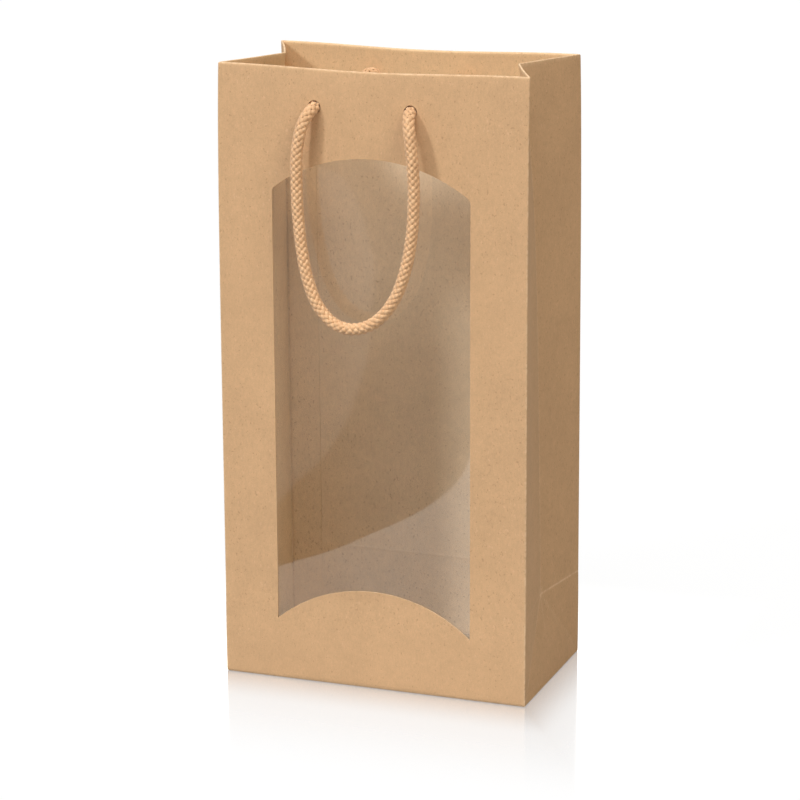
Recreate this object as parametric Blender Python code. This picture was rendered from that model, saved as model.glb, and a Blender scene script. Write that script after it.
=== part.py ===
"""Tall gift carrier bag of kraft paper, with a film window and two rope handles.

Metres, +Z up. The origin is the middle of the foot, on the floor. The window is in the front
panel, which faces -Y, and the side gussets face -X and +X.
The paper, card and film are modelled as thin solids. Layers that are glued together on the real
bag lie glue_gap apart, and panels that meet at a crease lie crease_gap apart.
"""

import math

import bmesh
import bpy
from mathutils import Vector

# Overall size
bag_width = 0.180
bag_depth = 0.100
bag_height = 0.350

# Sheet materials
paper_thickness = 0.0004
film_thickness = 0.0002
card_thickness = 0.0010
glue_gap = 0.0003
crease_gap = 0.0003

# How far the gusset crease is tucked in, at the fold above the foot and at the mouth.
# From one to the other it grows slowly at first and fast near the mouth.
foot_tuck = 0.0076
mouth_tuck = 0.0209
slow_tuck_share = 0.35
fast_tuck_power = 5
wall_row_shares = (0.08, 0.15, 0.25, 0.36, 0.47, 0.57, 0.66, 0.73, 0.79, 0.845, 0.89, 0.93, 0.965)

# Window in the front panel: straight sides, a top that arches up and a foot that arches up
window_width = 0.115
window_foot = 0.0355
window_mouth_margin = 0.0480
window_top_rise = 0.0195
window_foot_rise = 0.0215
window_corner_radius = 0.004
window_arc_steps = 22
window_corner_steps = 4
film_overlap = 0.008

# Mouth: the hem that is turned in, and the card strip inside it
hem_depth = 0.040
board_depth = 0.038
board_end_clearance = 0.0032
hem_end_clearance = 0.0036

# Side seam and base
glue_flap_width = 0.018
glue_flap_end_clearance = 0.0012
base_lap = 0.024
base_edge_clearance = 0.0006
tuck_flap_reach = 0.042
base_board_clearance = 0.0015

# Rope handles
rope_diameter = 0.0065
rope_sides_resolution = 3
hole_clearance = 0.00035
rope_gap = 0.0003
hole_spacing = 0.0554
hole_drop = 0.0215
hole_offset = -0.0040
rope_standout = 0.0090
loop_standout = 0.0160
loop_drop = 0.118
rope_point_spacing = 0.013
route_steps = 12
hole_steps = 24

# A loop's ends are rounded off: how far past the swing line, and how thick, as shares of the radius
round_end_shares = ((0.45, 0.88), (0.80, 0.58), (0.97, 0.20))

# Knots inside the mouth
knot_diameter = 0.0150
knot_thickness = 0.0115
knot_tail = 0.0020
turned_steps = 20
knot_rows = 8

cut_overrun = 0.006

# Route of the hanging loop, chosen by hand from the picture of the bag. Each point is a distance
# from the middle of the two holes along X, and a distance down the loop's plane.
loop_route = (
    (-0.0277, 0.0000), (-0.0315, 0.0085), (-0.0337, 0.0200), (-0.0344, 0.0400), (-0.0335, 0.0590),
    (-0.0312, 0.0770), (-0.0272, 0.0940), (-0.0205, 0.1080), (-0.0115, 0.1160), (-0.0030, 0.1180),
    (0.0055, 0.1165), (0.0148, 0.1105), (0.0222, 0.1010), (0.0276, 0.0880), (0.0310, 0.0730),
    (0.0328, 0.0560), (0.0331, 0.0380), (0.0318, 0.0200), (0.0300, 0.0085), (0.0277, 0.0000),
)

# Places worked out from the sizes above
half_width = bag_width / 2
half_foot_depth = bag_depth / 2
rope_radius = rope_diameter / 2
hole_radius = rope_radius + hole_clearance
hole_height = bag_height - hole_drop
fold_height = math.sqrt(half_foot_depth ** 2 - foot_tuck ** 2)
diagonal_gap = crease_gap * math.hypot(half_foot_depth, fold_height) / half_foot_depth

second_layer = paper_thickness + glue_gap
board_inner = second_layer + card_thickness
front_hem_layer = board_inner + glue_gap
front_hem_inner = front_hem_layer + paper_thickness
window_shoulder = bag_height - window_mouth_margin - window_top_rise
hem_foot = bag_height - hem_depth
board_foot = bag_height - board_depth
film_foot = window_foot - film_overlap
film_top = window_shoulder + window_top_rise + film_overlap
film_half_width = window_width / 2 + film_overlap

base_rear_flap_height = paper_thickness + glue_gap
base_tuck_height = base_rear_flap_height + paper_thickness + glue_gap
base_board_height = base_tuck_height + paper_thickness + glue_gap
base_board_top = base_board_height + card_thickness
glue_flap_foot = base_board_top + glue_gap
glue_flap_top = hem_foot - glue_gap

kraft_colour = (0.60, 0.37, 0.20)
kraft_inside_colour = (0.64, 0.41, 0.22)
card_colour = (0.45, 0.36, 0.27)
film_colour = (0.90, 0.92, 0.93)
rope_colour = (0.62, 0.38, 0.22)


def clear_scene():
    for old in list(bpy.data.objects):
        bpy.data.objects.remove(old, do_unlink=True)


def make_material(name, colour, roughness, alpha=1.0):
    material = bpy.data.materials.new(name)
    material.use_nodes = True
    shader = material.node_tree.nodes["Principled BSDF"]
    shader.inputs["Base Color"].default_value = (*colour, 1.0)
    shader.inputs["Roughness"].default_value = roughness
    shader.inputs["Metallic"].default_value = 0.0
    shader.inputs["Alpha"].default_value = alpha
    return material


def make_object(name, mesh_data, material):
    """Put finished bmesh geometry into the scene as one named object."""
    bmesh.ops.recalc_face_normals(mesh_data, faces=mesh_data.faces)
    mesh = bpy.data.meshes.new(name)
    mesh_data.to_mesh(mesh)
    mesh_data.free()
    thing = bpy.data.objects.new(name, mesh)
    bpy.context.scene.collection.objects.link(thing)
    if material is not None:
        mesh.materials.append(material)
    return thing


def cut_away(thing, cutter):
    cutter.hide_render = True
    cutter.display_type = "WIRE"
    cut = thing.modifiers.new("Cut " + cutter.name, "BOOLEAN")
    cut.operation = "DIFFERENCE"
    cut.solver = "EXACT"
    cut.object = cutter


def crease_tuck(height):
    """How far the gusset's middle crease lies inside the bag's side at this height."""
    if height <= fold_height:
        return foot_tuck * max(height, 0.0) / fold_height
    rise = (height - fold_height) / (bag_height - fold_height)
    fast_tuck_share = 1 - slow_tuck_share
    growth = slow_tuck_share * rise + fast_tuck_share * rise ** fast_tuck_power
    return foot_tuck + (mouth_tuck - foot_tuck) * growth


def half_depth(height):
    """Half the bag's depth: a tucked gusset of fixed paper width draws front and back together."""
    tuck = foot_tuck * min(max(height, 0.0) / fold_height, 1.0) ** 2
    if height > fold_height:
        tuck = crease_tuck(height)
    return math.sqrt(half_foot_depth ** 2 - tuck ** 2)


def wall_rows(foot, top):
    """Heights at which every layer of the wall has a row of points, so that layers stay parallel."""
    shared = [share * bag_height for share in wall_row_shares]
    return [foot] + [height for height in shared if foot < height < top] + [top]


def slab(name, outer, inner, material):
    """A thin closed solid between two grids of points, each a list of rows."""
    mesh_data = bmesh.new()
    sides = []
    for grid in (outer, inner):
        sides.append([[mesh_data.verts.new(point) for point in row] for row in grid])
    last_row = len(outer) - 1
    last_column = len(outer[0]) - 1
    for grid in sides:
        for row in range(last_row):
            for column in range(last_column):
                lower = grid[row][column:column + 2]
                upper = grid[row + 1][column:column + 2]
                mesh_data.faces.new((lower[0], lower[1], upper[1], upper[0]))
    face_side, back_side = sides
    for row in range(last_row):
        for column in (0, last_column):
            mesh_data.faces.new((face_side[row][column], face_side[row + 1][column],
                                 back_side[row + 1][column], back_side[row][column]))
    for column in range(last_column):
        for row in (0, last_row):
            mesh_data.faces.new((face_side[row][column], face_side[row][column + 1],
                                 back_side[row][column + 1], back_side[row][column]))
    return make_object(name, mesh_data, material)


def wall_point(across, height, inset, side):
    """A point on the front (side -1) or back (side +1) wall, a distance inside its outer face."""
    return Vector((across, side * (half_depth(height) - inset), height))


def wall_sheet(name, left, right, foot, top, inset, thickness, side, material):
    """A sheet that follows the front or back wall, its outer face inset from the wall's."""
    outer = []
    inner = []
    for height in wall_rows(foot, top):
        outer.append([wall_point(across, height, inset, side) for across in (left, right)])
        inner.append([wall_point(across, height, inset + thickness, side) for across in (left, right)])
    return slab(name, outer, inner, material)


def arc_points(left, right, height, rise, steps):
    """Points of an arc that stands on a chord at this height, from left to right."""
    half_chord = (right - left) / 2
    radius = (half_chord ** 2 + rise ** 2) / (2 * rise)
    spread = math.asin(half_chord / radius)
    middle = (left + right) / 2
    points = []
    for step in range(steps + 1):
        angle = spread * (2 * step / steps - 1)
        points.append((middle + radius * math.sin(angle), height + rise - radius * (1 - math.cos(angle))))
    return points


def window_cutter():
    """The window's outline as a solid that runs through the front wall."""
    half_window = window_width / 2
    foot = arc_points(-half_window, half_window, window_foot, window_foot_rise, window_arc_steps)
    top = arc_points(-half_window, half_window, window_shoulder, window_top_rise, window_arc_steps)
    outline = foot + top[::-1]
    near = -half_foot_depth - cut_overrun
    far = -half_depth(bag_height) + cut_overrun
    mesh_data = bmesh.new()
    floor = mesh_data.faces.new([mesh_data.verts.new((x, near, z)) for x, z in outline])
    corners = [vertex for vertex in floor.verts if vertex.co.z == top[0][1]]
    bmesh.ops.bevel(mesh_data, geom=corners, offset=window_corner_radius, affect="VERTICES",
                    segments=window_corner_steps, profile=0.5)
    mesh_data.faces.ensure_lookup_table()
    floor = mesh_data.faces[0]
    walls = bmesh.ops.extrude_face_region(mesh_data, geom=[floor], use_keep_orig=True)
    moved = [item for item in walls["geom"] if isinstance(item, bmesh.types.BMVert)]
    bmesh.ops.translate(mesh_data, verts=moved, vec=(0, far - near, 0))
    return make_object("window_cutter", mesh_data, None)


def hole_cutter(name, across, side):
    """A round bar that punches one rope hole through every layer of one wall."""
    mesh_data = bmesh.new()
    middle = side * half_depth(hole_height)
    rings = []
    for place in (middle - cut_overrun, middle + cut_overrun):
        ring = []
        for step in range(hole_steps):
            angle = 2 * math.pi * step / hole_steps
            ring.append(mesh_data.verts.new((across + hole_radius * math.cos(angle), place,
                                             hole_height + hole_radius * math.sin(angle))))
        rings.append(ring)
        mesh_data.faces.new(ring)
    for step in range(hole_steps):
        following = (step + 1) % hole_steps
        mesh_data.faces.new((rings[0][step], rings[0][following], rings[1][following], rings[1][step]))
    return make_object(name, mesh_data, None)


def hole_places():
    return {"left": hole_offset - hole_spacing / 2, "right": hole_offset + hole_spacing / 2}


def punch_rope_holes(sheets, side_name, side):
    for hand, across in hole_places().items():
        cutter = hole_cutter(f"{side_name}_{hand}_hole_cutter", across, side)
        for sheet in sheets:
            cut_away(sheet, cutter)


def hem_strip(name, side, material):
    """The paper that is turned over the mouth and down inside, behind the card strip."""
    end = half_width - hem_end_clearance
    outer = []
    inner = []
    for height in wall_rows(hem_foot, bag_height - paper_thickness):
        outer.append([wall_point(across, height, front_hem_layer, side) for across in (-end, end)])
        inner.append([wall_point(across, height, front_hem_inner, side) for across in (-end, end)])
    lip = [wall_point(across, bag_height - paper_thickness, second_layer, side) for across in (-end, end)]
    lip_top = [wall_point(across, bag_height, second_layer, side) for across in (-end, end)]
    back_top = [wall_point(across, bag_height, front_hem_inner, side) for across in (-end, end)]
    outer += [lip, lip_top]
    inner += [inner[-1], back_top]
    mesh_data = bmesh.new()
    section_left = [row[0] for row in outer] + [back_top[0]] + [row[0] for row in inner[-3::-1]]
    section_right = [row[1] for row in outer] + [back_top[1]] + [row[1] for row in inner[-3::-1]]
    left_ring = [mesh_data.verts.new(point) for point in section_left]
    right_ring = [mesh_data.verts.new(point) for point in section_right]
    mesh_data.faces.new(left_ring)
    mesh_data.faces.new(right_ring)
    for step, point in enumerate(left_ring):
        following = (step + 1) % len(left_ring)
        mesh_data.faces.new((point, left_ring[following], right_ring[following], right_ring[step]))
    return make_object(name, mesh_data, material)


def gusset_point(height, back_from_wall, inset, hand, half):
    """A point on one half of a gusset. back_from_wall runs from the front or back wall's outer
    face to the middle crease, half is -1 for the front half and hand is -1 for the left gusset."""
    depth = half_depth(height)
    tuck = crease_tuck(height) * back_from_wall / depth
    return Vector((hand * (half_width - tuck - inset), half * (depth - back_from_wall), height))


def diagonal_height(along):
    """Height of the diagonal crease between foot corner and middle crease, at this Y."""
    return fold_height * (1 - abs(along) / half_foot_depth)


def gusset_half(name, foot, inset, hand, half, material):
    """Half a gusset, from the wall to the middle crease, up to the mouth. Its foot is a height,
    or None for the diagonal crease."""
    outer = []
    inner = []
    near = second_layer
    for height in wall_rows(foot or fold_height, bag_height):
        far = half_depth(height) - crease_gap / 2
        for grid, depth_in in ((outer, inset), (inner, inset + paper_thickness)):
            grid.append([gusset_point(height, near, depth_in, hand, half),
                         gusset_point(height, far, depth_in, hand, half)])
    if foot is None:
        for grid, depth_in in ((outer, inset), (inner, inset + paper_thickness)):
            grid[0] = []
            for along in (half * (half_foot_depth - near), half * crease_gap / 2):
                lean = foot_tuck * (1 - abs(along) / half_foot_depth)
                height = diagonal_height(along) + diagonal_gap / 2
                grid[0].append(Vector((hand * (half_width - lean - depth_in), along, height)))
    return slab(name, outer, inner, material)


def gusset_foot(name, hand, material):
    """The triangle at the foot of a gusset, between its two diagonal creases."""
    reach = half_foot_depth - second_layer
    outline = [(-reach, 0.0), (reach, 0.0)]
    for along in (reach, 0.0, -reach):
        outline.append((along, diagonal_height(along) - diagonal_gap / 2))
    mesh_data = bmesh.new()
    rings = []
    for inset in (0.0, paper_thickness):
        ring = []
        for along, height in outline:
            lean = foot_tuck * height / fold_height
            ring.append(mesh_data.verts.new((hand * (half_width - lean - inset), along, height)))
        rings.append(ring)
        mesh_data.faces.new(ring)
    for step in range(len(outline)):
        following = (step + 1) % len(outline)
        mesh_data.faces.new((rings[0][step], rings[0][following], rings[1][following], rings[1][step]))
    return make_object(name, mesh_data, material)


def flat_sheet(name, outline, height, thickness, material):
    """A flat sheet that lies level, from its outline in plan."""
    mesh_data = bmesh.new()
    floor = mesh_data.faces.new([mesh_data.verts.new((x, y, height)) for x, y in outline])
    walls = bmesh.ops.extrude_face_region(mesh_data, geom=[floor], use_keep_orig=True)
    moved = [item for item in walls["geom"] if isinstance(item, bmesh.types.BMVert)]
    bmesh.ops.translate(mesh_data, verts=moved, vec=(0, 0, thickness))
    return make_object(name, mesh_data, material)


def rectangle(left, right, front, back):
    return [(left, front), (right, front), (right, back), (left, back)]


def turned(name, profile, start, side, material):
    """A solid of revolution about a line along Y. profile holds (distance inwards, radius)."""
    mesh_data = bmesh.new()
    rings = []
    for along, radius in profile:
        ring = []
        for step in range(turned_steps):
            angle = 2 * math.pi * step / turned_steps
            ring.append(mesh_data.verts.new((start.x + radius * math.cos(angle), start.y - side * along,
                                             start.z + radius * math.sin(angle))))
        rings.append(ring)
    mesh_data.faces.new(rings[0])
    mesh_data.faces.new(rings[-1])
    for lower, upper in zip(rings, rings[1:]):
        for step in range(turned_steps):
            following = (step + 1) % turned_steps
            mesh_data.faces.new((lower[step], lower[following], upper[following], upper[step]))
    thing = make_object(name, mesh_data, material)
    thing.data.shade_smooth()
    thing.data.set_sharp_from_angle(angle=math.radians(40))
    return thing


def axis_place(side):
    """The point midway between the two holes on the line that a handle swings about."""
    outside = half_depth(hole_height) + rope_standout
    return Vector((hole_offset, side * outside, hole_height))


def rope_end(name, across, side, material):
    """One end of a rope: the stretch through the hole, the knot inside and the cut tail."""
    start = Vector((across, axis_place(side).y, hole_height))
    stub_start = rope_radius + rope_gap
    knot_face = rope_standout + front_hem_inner + glue_gap
    profile = [(stub_start, rope_radius), (knot_face, rope_radius)]
    for row in range(1, knot_rows):
        share = row / knot_rows
        swell = math.sin(math.pi * share) ** 0.5
        radius = max(rope_radius, knot_diameter / 2 * swell)
        profile.append((knot_face + knot_thickness * share, radius))
    profile.append((knot_face + knot_thickness, rope_radius))
    profile.append((knot_face + knot_thickness + knot_tail, rope_radius))
    return turned(name, profile, start, side, material)


def smooth_through(points, steps):
    """A smooth curve through the points: each stretch is a Hermite curve with shared slopes."""
    slopes = []
    for index in range(len(points)):
        before = points[max(index - 1, 0)]
        after = points[min(index + 1, len(points) - 1)]
        slopes.append((after - before) / 2)
    line = [points[0].copy()]
    for index in range(len(points) - 1):
        for step in range(1, steps + 1):
            t = step / steps
            line.append(points[index] * (2 * t ** 3 - 3 * t ** 2 + 1)
                        + slopes[index] * (t ** 3 - 2 * t ** 2 + t)
                        + points[index + 1] * (3 * t ** 2 - 2 * t ** 3)
                        + slopes[index + 1] * (t ** 3 - t ** 2))
    return line


def evenly_spaced(line, spacing):
    """Points along a line about a spacing apart, with its first and last point kept."""
    lengths = [0.0]
    for before, after in zip(line, line[1:]):
        lengths.append(lengths[-1] + (after - before).length)
    count = max(2, round(lengths[-1] / spacing))
    spaced = []
    index = 0
    for step in range(count + 1):
        target = lengths[-1] * step / count
        while index < len(line) - 2 and lengths[index + 1] < target:
            index += 1
        share = (target - lengths[index]) / (lengths[index + 1] - lengths[index])
        spaced.append(line[index].lerp(line[index + 1], share))
    return spaced


def rope_loop(name, side, material):
    """The free loop of one rope, from the line it swings about down to its lowest point and back."""
    origin = axis_place(side)
    lean = math.asin((loop_standout - rope_standout) / loop_drop)
    route = []
    for across, down in loop_route:
        route.append(Vector((across, side * down * math.sin(lean), -down * math.cos(lean))))
    line = evenly_spaced(smooth_through(route, route_steps), rope_point_spacing)
    radius_shares = [1.0] * len(line)
    first_way = (line[0] - line[1]).normalized()
    last_way = (line[-1] - line[-2]).normalized()
    for reach_share, radius_share in round_end_shares:
        reach = rope_radius * reach_share
        line = [route[0] + first_way * reach] + line + [route[-1] + last_way * reach]
        radius_shares = [radius_share] + radius_shares + [radius_share]
    curve = bpy.data.curves.new(name, "CURVE")
    curve.dimensions = "3D"
    curve.bevel_depth = rope_radius
    curve.bevel_resolution = rope_sides_resolution
    curve.use_fill_caps = True
    spline = curve.splines.new("POLY")
    spline.points.add(len(line) - 1)
    for point, place, share in zip(spline.points, line, radius_shares):
        point.co = (*place, 1.0)
        point.radius = share
    curve.materials.append(material)
    thing = bpy.data.objects.new(name, curve)
    thing.location = origin
    bpy.context.scene.collection.objects.link(thing)
    return thing


def build_walls(kraft, inside):
    """The paper sleeve: front and back panel, and the gussets in halves with their feet."""
    front = wall_sheet("front_panel", -half_width, half_width, 0.0, bag_height,
                       0.0, paper_thickness, -1, kraft)
    cut_away(front, window_cutter())
    back = wall_sheet("back_panel", -half_width, half_width, 0.0, bag_height,
                      0.0, paper_thickness, 1, kraft)
    for hand_name, hand in (("left", -1), ("right", 1)):
        for half_name, half in (("front", -1), ("rear", 1)):
            gusset_half(f"{hand_name}_gusset_{half_name}_half", None, 0.0, hand, half, kraft)
            gusset_half(f"{hand_name}_gusset_{half_name}_hem", hem_foot, second_layer,
                        hand, half, inside)
        gusset_foot(f"{hand_name}_gusset_foot", hand, kraft)
    flap_start = half_width - second_layer - glue_flap_end_clearance
    wall_sheet("side_seam_glue_flap", -flap_start, -flap_start + glue_flap_width, glue_flap_foot,
               glue_flap_top, second_layer, paper_thickness, 1, inside)
    return front, back


def build_mouth(front, back, card, inside):
    """The turned-in hem and the card strips, with the rope holes through all layers."""
    end = half_width - board_end_clearance
    board_top = bag_height - paper_thickness - glue_gap
    for side_name, side, panel in (("front", -1, front), ("back", 1, back)):
        board = wall_sheet(f"{side_name}_mouth_board", -end, end, board_foot, board_top,
                           second_layer, card_thickness, side, card)
        hem = hem_strip(f"{side_name}_hem", side, inside)
        punch_rope_holes((panel, board, hem), side_name, side)


def build_window(film):
    wall_sheet("window_film", -film_half_width, film_half_width, film_foot, film_top,
               second_layer, film_thickness, -1, film)


def build_base(kraft, inside, card):
    """The glued block bottom, from the floor up, and the card laid on it."""
    side_reach = half_width - paper_thickness - base_edge_clearance
    end_reach = half_foot_depth - paper_thickness - base_edge_clearance
    flat_sheet("base_front_flap", rectangle(-side_reach, side_reach, -end_reach, base_lap / 2),
               0.0, paper_thickness, kraft)
    flat_sheet("base_rear_flap", rectangle(-side_reach, side_reach, -base_lap / 2, end_reach),
               base_rear_flap_height, paper_thickness, kraft)
    for hand_name, hand in (("left", -1), ("right", 1)):
        outer = hand * side_reach
        inner = hand * (side_reach - tuck_flap_reach)
        narrow = end_reach - tuck_flap_reach
        flat_sheet(f"base_{hand_name}_tuck_flap",
                   [(outer, -end_reach), (outer, end_reach), (inner, narrow), (inner, -narrow)],
                   base_tuck_height, paper_thickness, inside)
    board_half_width = half_width - second_layer - base_board_clearance
    board_half_depth = half_foot_depth - second_layer - base_board_clearance
    flat_sheet("base_board", rectangle(-board_half_width, board_half_width,
                                       -board_half_depth, board_half_depth),
               base_board_height, card_thickness, card)


def build_ropes(rope):
    for side_name, side in (("front", -1), ("rear", 1)):
        rope_loop(f"{side_name}_rope_loop", side, rope)
        for hand, across in hole_places().items():
            rope_end(f"{side_name}_{hand}_rope_knot", across, side, rope)


def main():
    clear_scene()
    kraft = make_material("kraft_paper", kraft_colour, 0.85)
    inside = make_material("kraft_paper_inside", kraft_inside_colour, 0.85)
    card = make_material("grey_card", card_colour, 0.90)
    film = make_material("clear_film", film_colour, 0.08, alpha=0.25)
    rope = make_material("braided_rope", rope_colour, 0.90)
    front, back = build_walls(kraft, inside)
    build_window(film)
    build_mouth(front, back, card, inside)
    build_base(kraft, inside, card)
    build_ropes(rope)


main()
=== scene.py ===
# %% [markdown]
# # The looks of a tall paper carrier bag
# The packed model holds every part of the bag as a thin, plain solid in its right place.
# This script dresses it. The folded paper, the film, the card strips and the knotted ropes
# get finer meshes that stand for the plain solids. The base keeps its solids and gets
# finishes. Everything is in metres, with +Z up, and the window faces -Y.

# %% Load the packed bag and note its size
import math
import random

import bmesh
import bpy
from mathutils import Matrix, Vector, noise


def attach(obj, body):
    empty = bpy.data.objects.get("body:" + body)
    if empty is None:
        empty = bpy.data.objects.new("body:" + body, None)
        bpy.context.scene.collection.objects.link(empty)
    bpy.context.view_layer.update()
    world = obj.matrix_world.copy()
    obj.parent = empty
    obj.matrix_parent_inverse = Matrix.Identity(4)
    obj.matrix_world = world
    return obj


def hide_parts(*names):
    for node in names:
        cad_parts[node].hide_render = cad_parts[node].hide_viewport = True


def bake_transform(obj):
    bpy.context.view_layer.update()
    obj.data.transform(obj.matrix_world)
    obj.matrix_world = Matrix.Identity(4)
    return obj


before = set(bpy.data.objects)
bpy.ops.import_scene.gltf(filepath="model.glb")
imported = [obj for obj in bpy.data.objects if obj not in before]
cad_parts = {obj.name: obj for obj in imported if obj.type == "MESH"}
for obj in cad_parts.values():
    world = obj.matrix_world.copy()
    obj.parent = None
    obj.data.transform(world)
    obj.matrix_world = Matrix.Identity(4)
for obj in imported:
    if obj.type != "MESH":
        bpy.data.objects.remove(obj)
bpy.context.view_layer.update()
mm = 0.001

# %% [markdown]
# ## Camera
# A long lens from a little right of the front and a little above shows the front panel, the
# right gusset and a strip of the inside, as a product picture of a bag does. The camera's
# axes are worked out from its direction, because a tracking constraint can't hold the small
# roll.

# %% Place the camera
camera_place = Vector((0.574, -1.536, 0.589))
camera_azimuth = 20.54
camera_elevation = 14.80
camera_roll = math.radians(-0.35)
camera_lens = 135.0


def way_to(azimuth, elevation):
    """The way to a place in the room: degrees to the right of the front, and degrees up."""
    azimuth, elevation = math.radians(azimuth), math.radians(elevation)
    return Vector((math.sin(azimuth) * math.cos(elevation),
                   -math.cos(azimuth) * math.cos(elevation), math.sin(elevation)))


def put_in_scene(name, data):
    thing = bpy.data.objects.new(name, data)
    bpy.context.scene.collection.objects.link(thing)
    return thing


backward = way_to(camera_azimuth, camera_elevation)
right = way_to(camera_azimuth + 90, 0)
up = backward.cross(right)
camera_axes = Matrix((right * math.cos(camera_roll) + up * math.sin(camera_roll),
                      up * math.cos(camera_roll) - right * math.sin(camera_roll), backward))
camera_data = bpy.data.cameras.new("camera")
camera_data.lens = camera_lens
camera = put_in_scene("camera", camera_data)
camera.matrix_world = Matrix.Translation(camera_place) @ camera_axes.transposed().to_4x4()
bpy.context.scene.camera = camera
print("camera looks along", [round(x, 3) for x in -backward])

# %% [markdown]
# ## Building finishes from nodes
# Shader maths reads best as plain arithmetic, so one small class wraps a socket and lets
# Python's operators add the Math nodes. Every other node comes from one method, which sets
# the node's settings first and its sockets after.


# %% A socket that can be added, subtracted and multiplied
class Wire:
    """One output socket of a node tree."""

    def __init__(self, finish, socket):
        self.finish = finish
        self.socket = socket

    def maths(self, operation, *others):
        return self.finish.maths(operation, self, *others)

    def __add__(self, other):
        return self.maths("ADD", other)

    def __sub__(self, other):
        return self.maths("SUBTRACT", other)

    def __rsub__(self, other):
        return self.finish.maths("SUBTRACT", other, self)

    def __mul__(self, other):
        return self.maths("MULTIPLY", other)

    __radd__ = __add__
    __rmul__ = __mul__

    def above(self, start, end):
        """0 where the value is under start, 1 where it is over end, and smooth between."""
        return self.finish.node("ShaderNodeMapRange", {"interpolation_type": "SMOOTHSTEP"},
                                {"Value": self, "From Min": start, "From Max": end})


print("a wire can", [name for name in vars(Wire) if not name.endswith("__")], "and + - *")


# %% A node tree and the nodes that these finishes use
class Finish:
    """The node tree of a material or of the world."""

    def __init__(self, owner):
        owner.use_nodes = True
        self.owner = owner
        self.tree = owner.node_tree
        self.tree.nodes.clear()

    def node(self, kind, settings=None, sockets=None, output=0):
        made = self.tree.nodes.new(kind)
        for name, value in (settings or {}).items():
            setattr(made, name, value)
        for name, value in (sockets or {}).items():
            if isinstance(value, Wire):
                self.tree.links.new(value.socket, made.inputs[name])
            else:
                made.inputs[name].default_value = value
        if made.outputs:
            return Wire(self, made.outputs[output])

    def maths(self, operation, *values):
        return self.node("ShaderNodeMath", {"operation": operation}, dict(enumerate(values)))

    def mix(self, share, first, second, blend="MIX"):
        """A colour between two colours, or two colours multiplied."""
        return self.node("ShaderNodeMix", {"data_type": "RGBA", "blend_type": blend},
                         {0: share, 6: first, 7: second}, output=2)

    def mix_shader(self, share, first, second):
        return self.node("ShaderNodeMixShader", {}, {0: share, 1: first, 2: second})

    def speckle(self, place, scale, detail=2.0, roughness=0.5):
        """A grey noise between 0 and 1, mostly near one half."""
        return self.node("ShaderNodeTexNoise", {"noise_dimensions": "3D"},
                         {"Vector": place, "Scale": scale, "Detail": detail, "Roughness": roughness})

    def stretched(self, place, factors):
        """The same places with each axis multiplied, so that a noise is drawn out along one."""
        return self.node("ShaderNodeVectorMath", {"operation": "MULTIPLY"}, {0: place, 1: factors})

    def attribute(self, name, output="Fac"):
        return self.node("ShaderNodeAttribute", {"attribute_name": name}, output=output)

    def place(self):
        return self.node("ShaderNodeTexCoord", output="Object")

    def ray(self, kind):
        """1 for a ray of this kind, such as Camera, and 0 for any other."""
        return self.node("ShaderNodeLightPath", output=f"Is {kind} Ray")

    def bump(self, height, distance, strength):
        return self.node("ShaderNodeBump", {},
                         {"Height": height, "Distance": distance, "Strength": strength})

    def surface(self, shader):
        self.node("ShaderNodeOutputMaterial", {}, {"Surface": shader})
        return self.owner

    def principled(self, sockets):
        return self.surface(self.node("ShaderNodeBsdfPrincipled", {}, sockets))


def new_finish(name):
    return Finish(bpy.data.materials.new(name))


print("finishes are built from", [name for name in dir(Finish) if not name.startswith("_")])

# %% [markdown]
# ## Sizes of the bag
# These repeat the named sizes of the bag's source, because a rope or a folded wall that
# follows a formula has to follow the same one as the solids it stands for.

# %% Sizes of the paper sleeve
bag_width = 180 * mm
bag_depth = 100 * mm
bag_height = 350 * mm
paper = 0.4 * mm
layer_gap = 0.3 * mm
card = 1.0 * mm
foot_tuck = 7.6 * mm
mouth_tuck = 20.9 * mm
slow_tuck_share = 0.35
fast_tuck_power = 5
half_width = bag_width / 2
half_foot_depth = bag_depth / 2
fold_height = math.sqrt(half_foot_depth ** 2 - foot_tuck ** 2)
second_layer = paper + layer_gap
hem_back = second_layer + card + layer_gap
hem_face = hem_back + paper
print(f"bottom fold at {fold_height / mm:.2f} mm, mouth edge {hem_face / mm:.1f} mm thick")


# %% How far the gussets are tucked in and the panels drawn together
def smooth_step(value, start, end):
    """0 before start, 1 after end and a smooth rise between them."""
    share = min(max((value - start) / (end - start), 0.0), 1.0)
    return share * share * (3 - 2 * share)


def crease_tuck(height):
    """How far the gusset's middle crease lies inside the bag's side."""
    if height <= fold_height:
        return foot_tuck * max(height, 0.0) / fold_height
    rise = (height - fold_height) / (bag_height - fold_height)
    growth = slow_tuck_share * rise + (1 - slow_tuck_share) * rise ** fast_tuck_power
    return foot_tuck + (mouth_tuck - foot_tuck) * growth


def half_depth(height):
    """Half the bag's depth at a height: tucked gussets draw front and back together."""
    tuck = crease_tuck(height)
    if height <= fold_height:
        tuck *= max(height, 0.0) / fold_height
    return math.sqrt(half_foot_depth ** 2 - tuck ** 2)


print(f"depth at the mouth {2 * half_depth(bag_height) / mm:.1f} mm")

# %% [markdown]
# A bag that has been carried is never quite flat at its mouth. Both panels bow a few
# millimetres towards the front, and the folded edge dips a little in the middle. The bow
# could be pulled into the finished paper by a lattice. It is a formula here, because the
# card strips, ropes and knots sit in these panels and have to follow it too.

# %% Bow and dip of the mouth
panel_end = 84 * mm
bow_reach = 3.0 * mm
bow_foot = 215 * mm
dip_reach = 1.2 * mm
dip_foot = 334 * mm


def middle_share(across):
    """1 in the middle of a panel and 0 towards its ends."""
    return math.cos(math.pi / 2 * min(abs(across) / panel_end, 1.0)) ** 2


def mouth_bow(across, height):
    """How far both panels bow towards the front."""
    return bow_reach * middle_share(across) * smooth_step(height, bow_foot, bag_height)


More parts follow.
